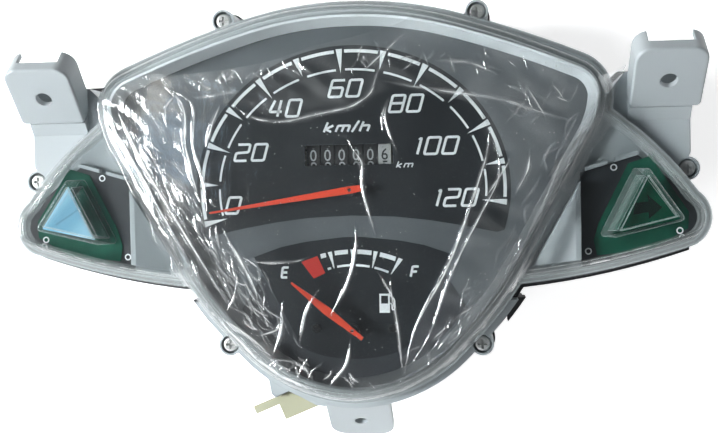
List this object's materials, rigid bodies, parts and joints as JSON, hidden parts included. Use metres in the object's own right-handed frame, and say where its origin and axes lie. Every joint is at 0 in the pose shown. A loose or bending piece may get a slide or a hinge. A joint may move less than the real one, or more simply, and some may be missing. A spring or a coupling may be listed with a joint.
{
  "type": "instrument cluster",
  "caption": "Motorcycle instrument cluster: domed clear window over speedometer, odometer and fuel gauge, swept wings with triangular turn-signal lamps, ears and tab to mount it.",
  "frame": {"origin": "centre of the speedometer cable nipple's end face, in the plane the back rests on", "axes": "+X to the rider's right across both wings, +Y to the top of the dial, +Z out of the dial towards the rider"},
  "size_m": [0.284, 0.1833, 0.0747],
  "materials": {
    "black_plastic": "matte",
    "seal_rubber": "matte",
    "white_plastic": "satin",
    "clear_plastic": "gloss",
    "film": "gloss",
    "grey_plastic": "satin",
    "dial_print": "matte",
    "plate_grey": "matte",
    "green_filter": "gloss",
    "pale_lens": "gloss",
    "green_lens": "gloss",
    "bulb_glass": "gloss",
    "die_cast": "matte",
    "plated_steel": "satin",
    "black_steel": "satin",
    "brass": "satin",
    "chrome": "polished",
    "natural_nylon": "satin",
    "magnet": "matte",
    "aluminium": "satin",
    "needle_red": "satin",
    "drum_black": "matte",
    "drum_white": "matte"
  },
  "bodies": {
    "case": {"rear_housing": "black_plastic", "housing_seal": "seal_rubber", "front_case": "white_plastic", "lens_seal": "seal_rubber", "clear_lens": "clear_plastic", "protective_film": "film", "inner_bezel": "grey_plastic", "dial_plate": "dial_print", "left_signal_plate": "plate_grey", "right_signal_plate": "plate_grey", "left_signal_filter": "green_filter", "right_signal_filter": "green_filter", "left_signal_lens": "pale_lens", "right_signal_lens": "green_lens", "left_light_box": "white_plastic", "right_light_box": "white_plastic", "bulb_sockets": "seal_rubber", "bulbs": "bulb_glass", "movement_body": "die_cast", "movement_frame": "plated_steel", "field_ring": "plated_steel", "hairspring": "brass", "drum_shaft": "plated_steel", "pinion_shaft": "plated_steel", "case_screws": "chrome", "frame_screws": "plated_steel", "movement_screws": "plated_steel", "gauge_screws": "black_steel", "fuel_gauge_body": "black_plastic", "connector_housing": "natural_nylon", "connector_terminals": "brass"},
    "input": {"input_shaft": "plated_steel", "drive_magnet": "magnet"},
    "speed_pointer": {"speed_cup": "aluminium", "speed_spindle": "plated_steel", "speed_needle": "needle_red", "speed_needle_hub": "black_plastic"},
    "cross": {"cross_shaft": "brass"},
    "riser": {"riser_shaft": "brass"},
    "drum_1": {"odometer_drum_1": "drum_black"},
    "drum_2": {"odometer_drum_2": "drum_black"},
    "drum_3": {"odometer_drum_3": "drum_black"},
    "drum_4": {"odometer_drum_4": "drum_black"},
    "drum_5": {"odometer_drum_5": "drum_black"},
    "drum_6": {"odometer_drum_6": "drum_white", "odometer_drive_gear": "natural_nylon"},
    "pinion_1": {"carry_pinion_1": "natural_nylon"},
    "pinion_2": {"carry_pinion_2": "natural_nylon"},
    "pinion_3": {"carry_pinion_3": "natural_nylon"},
    "pinion_4": {"carry_pinion_4": "natural_nylon"},
    "pinion_5": {"carry_pinion_5": "natural_nylon"},
    "fuel_pointer": {"fuel_rotor": "magnet", "fuel_spindle": "plated_steel", "fuel_needle": "needle_red", "fuel_needle_hub": "black_plastic"}
  },
  "joints": [
    {"name": "cable_shaft", "type": "hinge", "parent": "case", "child": "input", "pos_m": [0, 0, 0.012], "axis": [0, 0, 1], "continuous": true},
    {"name": "speed_needle_swing", "type": "hinge", "parent": "case", "child": "speed_pointer", "pos_m": [0, 0, 0.046], "axis": [0, 0, -1], "range_deg": [0, 194], "stiffness_Nm_per_rad": 0.00002},
    {"name": "cross_shaft_spin", "type": "hinge", "parent": "case", "child": "cross", "pos_m": [0.00862, 0.01, 0.016], "axis": [0, 1, 0], "continuous": true},
    {"name": "riser_shaft_spin", "type": "hinge", "parent": "case", "child": "riser", "pos_m": [0.01824, 0.02112, 0.03], "axis": [0, 0, 1], "continuous": true},
    {"name": "drum_6_spin", "type": "hinge", "parent": "case", "child": "drum_6", "pos_m": [0.0136, 0.0142, 0.0414], "axis": [1, 0, 0], "continuous": true},
    {"name": "drum_5_spin", "type": "hinge", "parent": "case", "child": "drum_5", "pos_m": [0.0078, 0.0142, 0.0414], "axis": [1, 0, 0], "continuous": true},
    {"name": "drum_4_spin", "type": "hinge", "parent": "case", "child": "drum_4", "pos_m": [0.002, 0.0142, 0.0414], "axis": [1, 0, 0], "continuous": true},
    {"name": "drum_3_spin", "type": "hinge", "parent": "case", "child": "drum_3", "pos_m": [-0.0038, 0.0142, 0.0414], "axis": [1, 0, 0], "continuous": true},
    {"name": "drum_2_spin", "type": "hinge", "parent": "case", "child": "drum_2", "pos_m": [-0.0096, 0.0142, 0.0414], "axis": [1, 0, 0], "continuous": true},
    {"name": "drum_1_spin", "type": "hinge", "parent": "case", "child": "drum_1", "pos_m": [-0.0154, 0.0142, 0.0414], "axis": [1, 0, 0], "continuous": true},
    {"name": "pinion_1_spin", "type": "hinge", "parent": "case", "child": "pinion_1", "pos_m": [-0.0125, 0.02412, 0.0414], "axis": [1, 0, 0], "continuous": true},
    {"name": "pinion_2_spin", "type": "hinge", "parent": "case", "child": "pinion_2", "pos_m": [-0.0067, 0.02412, 0.0414], "axis": [1, 0, 0], "continuous": true},
    {"name": "pinion_3_spin", "type": "hinge", "parent": "case", "child": "pinion_3", "pos_m": [-0.0009, 0.02412, 0.0414], "axis": [1, 0, 0], "continuous": true},
    {"name": "pinion_4_spin", "type": "hinge", "parent": "case", "child": "pinion_4", "pos_m": [0.0049, 0.02412, 0.0414], "axis": [1, 0, 0], "continuous": true},
    {"name": "pinion_5_spin", "type": "hinge", "parent": "case", "child": "pinion_5", "pos_m": [0.0107, 0.02412, 0.0414], "axis": [1, 0, 0], "continuous": true},
    {"name": "fuel_needle_swing", "type": "hinge", "parent": "case", "child": "fuel_pointer", "pos_m": [0, -0.056, 0.046], "axis": [0, 0, -1], "range_deg": [0, 88]}
  ],
  "couplings": [
    {"joint": "cross_shaft_spin", "follows": "cable_shaft", "ratio": 0.076923},
    {"joint": "riser_shaft_spin", "follows": "cable_shaft", "ratio": -0.010989},
    {"joint": "drum_6_spin", "follows": "cable_shaft", "ratio": 0.0015699},
    {"joint": "drum_5_spin", "follows": "cable_shaft", "ratio": 0.00015699},
    {"joint": "drum_4_spin", "follows": "cable_shaft", "ratio": 0.000015699},
    {"joint": "drum_3_spin", "follows": "cable_shaft", "ratio": 0.0000015699},
    {"joint": "drum_2_spin", "follows": "cable_shaft", "ratio": 0.00000015699},
    {"joint": "drum_1_spin", "follows": "cable_shaft", "ratio": 0.000000015699},
    {"joint": "pinion_1_spin", "follows": "cable_shaft", "ratio": -0.000000069771},
    {"joint": "pinion_2_spin", "follows": "cable_shaft", "ratio": -0.00000069771},
    {"joint": "pinion_3_spin", "follows": "cable_shaft", "ratio": -0.0000069771},
    {"joint": "pinion_4_spin", "follows": "cable_shaft", "ratio": -0.000069772},
    {"joint": "pinion_5_spin", "follows": "cable_shaft", "ratio": -0.00069772}
  ]
}
